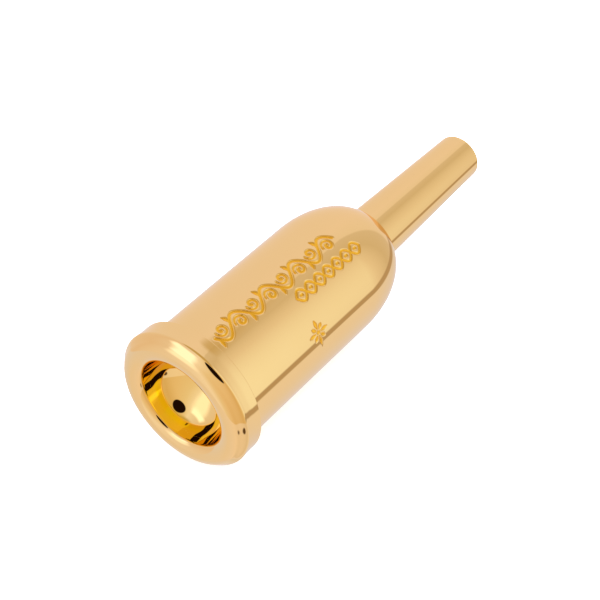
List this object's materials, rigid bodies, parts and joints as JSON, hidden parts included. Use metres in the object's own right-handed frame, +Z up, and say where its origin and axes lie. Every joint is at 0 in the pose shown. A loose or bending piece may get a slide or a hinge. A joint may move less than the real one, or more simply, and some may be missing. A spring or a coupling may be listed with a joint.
{
  "type": "brass instrument mouthpiece",
  "caption": "Gold-plated brass-instrument mouthpiece with a rounded rim, deep cup, heavy bottle-shaped outer sleeve and a slim tapered shank.",
  "frame": {"origin": "On the mouthpiece's axis, half-way between the lip of the rim and the end of the shank, which is the centre of its box.", "axes": "+Y along the axis from the rim the player blows into towards the end of the shank, +Z up, +X to the right when looking from the rim towards the shank."},
  "size_m": [0.0274, 0.088, 0.0274],
  "materials": {
    "rim_gold": "mirror-polished gold plate",
    "cup_gold": "mirror-polished gold plate",
    "jacket_gold": "mirror-polished gold plate",
    "shank_gold": "mirror-polished gold plate",
    "rubber": "matt black rubber"
  },
  "bodies": {
    "shank": {"shank": "shank_gold"},
    "cup": {"cup": "cup_gold", "front_o_ring": "rubber"},
    "rim": {"rim": "rim_gold"},
    "jacket": {"jacket": "jacket_gold", "rear_o_ring": "rubber"}
  },
  "joints": [
    {"name": "cup_unscrew", "type": "slide", "parent": "shank", "child": "cup", "axis": [0, -1, 0], "range_m": [0, 0.01]},
    {"name": "rim_unscrew", "type": "slide", "parent": "cup", "child": "rim", "axis": [0, -1, 0], "range_m": [0, 0.005]},
    {"name": "jacket_slide", "type": "slide", "parent": "shank", "child": "jacket", "axis": [0, 1, 0], "range_m": [0, 0.083]}
  ]
}
